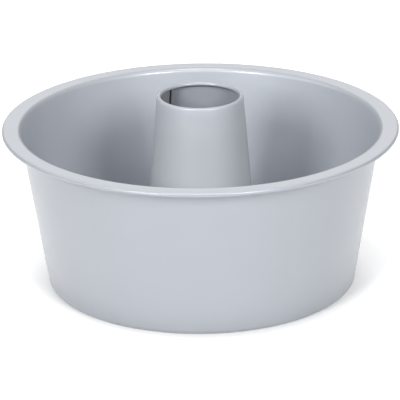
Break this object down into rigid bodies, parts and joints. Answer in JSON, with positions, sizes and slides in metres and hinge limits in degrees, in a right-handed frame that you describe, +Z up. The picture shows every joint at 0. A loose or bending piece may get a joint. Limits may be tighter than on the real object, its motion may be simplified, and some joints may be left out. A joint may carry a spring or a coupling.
{
  "type": "chiffon cake pan",
  "caption": "Round cake pan with sloping walls, a flat rolled rim and a tall open tube in the middle, in satin silver-grey metal.",
  "frame": {"origin": "on the floor under the middle of the pan, on the axis of the tube", "axes": "+Z up along the axis of the pan and its tube; the picture looks along +Y; +X is to its right"},
  "size_m": [0.275, 0.275, 0.1346],
  "materials": {
    "pan_metal": "satin silver-grey",
    "tube_metal": "satin silver-grey"
  },
  "bodies": {
    "root": {"pan_shell": "pan_metal", "centre_tube": "tube_metal"}
  },
  "joints": []
}
